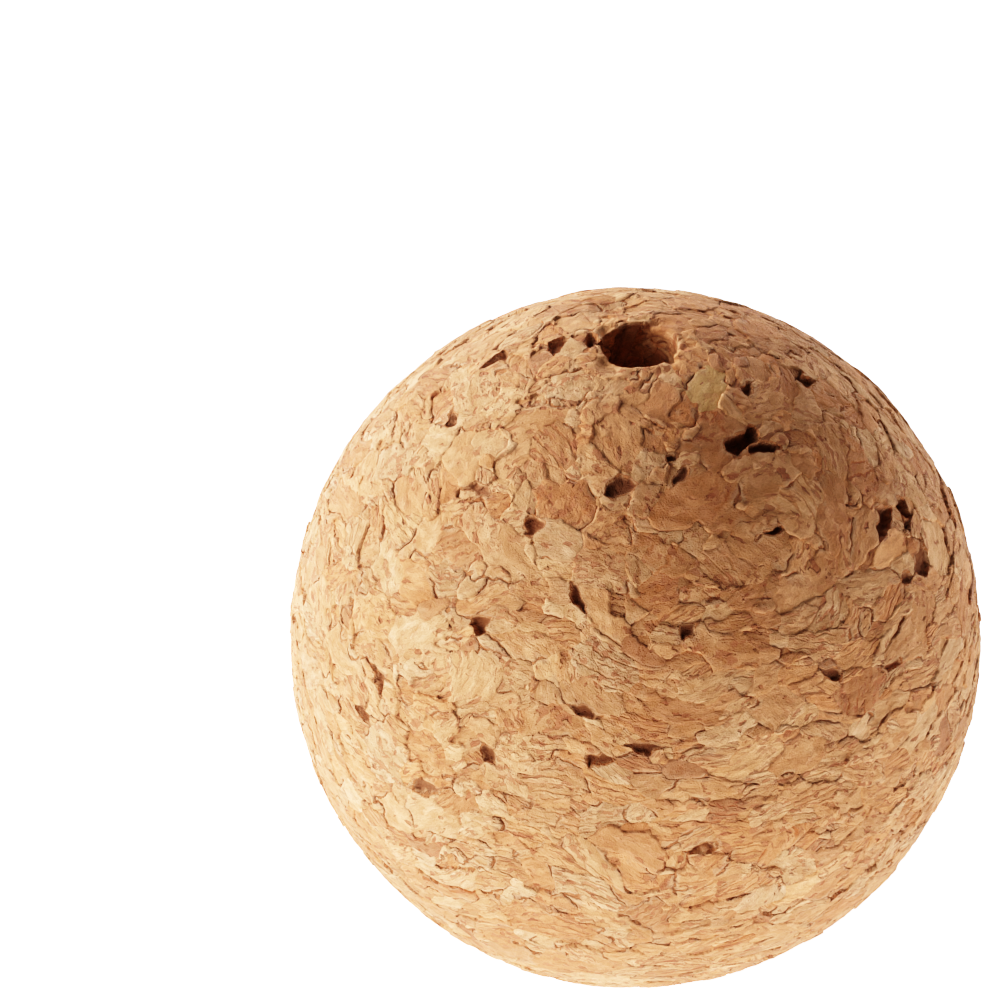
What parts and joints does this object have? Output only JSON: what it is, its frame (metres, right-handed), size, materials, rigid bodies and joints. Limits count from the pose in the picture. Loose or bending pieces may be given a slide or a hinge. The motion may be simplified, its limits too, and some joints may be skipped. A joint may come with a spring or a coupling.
{
  "type": "massage ball",
  "caption": "Ball turned from agglomerated cork, for rolling under the hand, foot or back, with a plain bore through its poles.",
  "frame": {"origin": "centre of the ball, half way along its bore", "axes": "+Z along the bore; -Y is the side that the picture looks at from above"},
  "size_m": [0.065, 0.065, 0.0658],
  "materials": {
    "cork_body": "matte, fine cork granules and binder, turned",
    "pale_cork": "matte pale cork granule",
    "ochre_cork": "matte ochre cork granule",
    "red_cork": "matte reddish cork granule",
    "olive_cork": "matte olive-tinged cork granule",
    "dark_bark": "matte dark bark fleck"
  },
  "bodies": {
    "root": {"cork_body": "cork_body", "bark_granule_01": "dark_bark", "bark_granule_02": "dark_bark", "bark_granule_03": "dark_bark", "bark_granule_04": "dark_bark", "bark_granule_05": "dark_bark", "bark_granule_06": "dark_bark", "bark_granule_07": "dark_bark", "ochre_granule_01": "ochre_cork", "ochre_granule_02": "ochre_cork", "ochre_granule_03": "ochre_cork", "ochre_granule_04": "ochre_cork", "ochre_granule_05": "ochre_cork", "ochre_granule_06": "ochre_cork", "ochre_granule_07": "ochre_cork", "ochre_granule_08": "ochre_cork", "ochre_granule_09": "ochre_cork", "ochre_granule_10": "ochre_cork", "ochre_granule_11": "ochre_cork", "ochre_granule_12": "ochre_cork", "ochre_granule_13": "ochre_cork", "ochre_granule_14": "ochre_cork", "ochre_granule_15": "ochre_cork", "ochre_granule_16": "ochre_cork", "ochre_granule_17": "ochre_cork", "ochre_granule_18": "ochre_cork", "ochre_granule_19": "ochre_cork", "ochre_granule_20": "ochre_cork", "olive_granule_01": "olive_cork", "pale_granule_01": "pale_cork", "pale_granule_02": "pale_cork", "pale_granule_03": "pale_cork", "pale_granule_04": "pale_cork", "pale_granule_05": "pale_cork", "pale_granule_06": "pale_cork", "pale_granule_07": "pale_cork", "pale_granule_08": "pale_cork", "pale_granule_09": "pale_cork", "pale_granule_10": "pale_cork", "pale_granule_11": "pale_cork", "pale_granule_12": "pale_cork", "pale_granule_13": "pale_cork", "pale_granule_14": "pale_cork", "pale_granule_15": "pale_cork", "red_granule_01": "red_cork", "red_granule_02": "red_cork", "red_granule_03": "red_cork", "red_granule_04": "red_cork", "red_granule_05": "red_cork", "red_granule_06": "red_cork", "red_granule_07": "red_cork", "red_granule_08": "red_cork", "red_granule_09": "red_cork", "red_granule_10": "red_cork", "red_granule_11": "red_cork", "red_granule_12": "red_cork", "red_granule_13": "red_cork"}
  },
  "joints": []
}
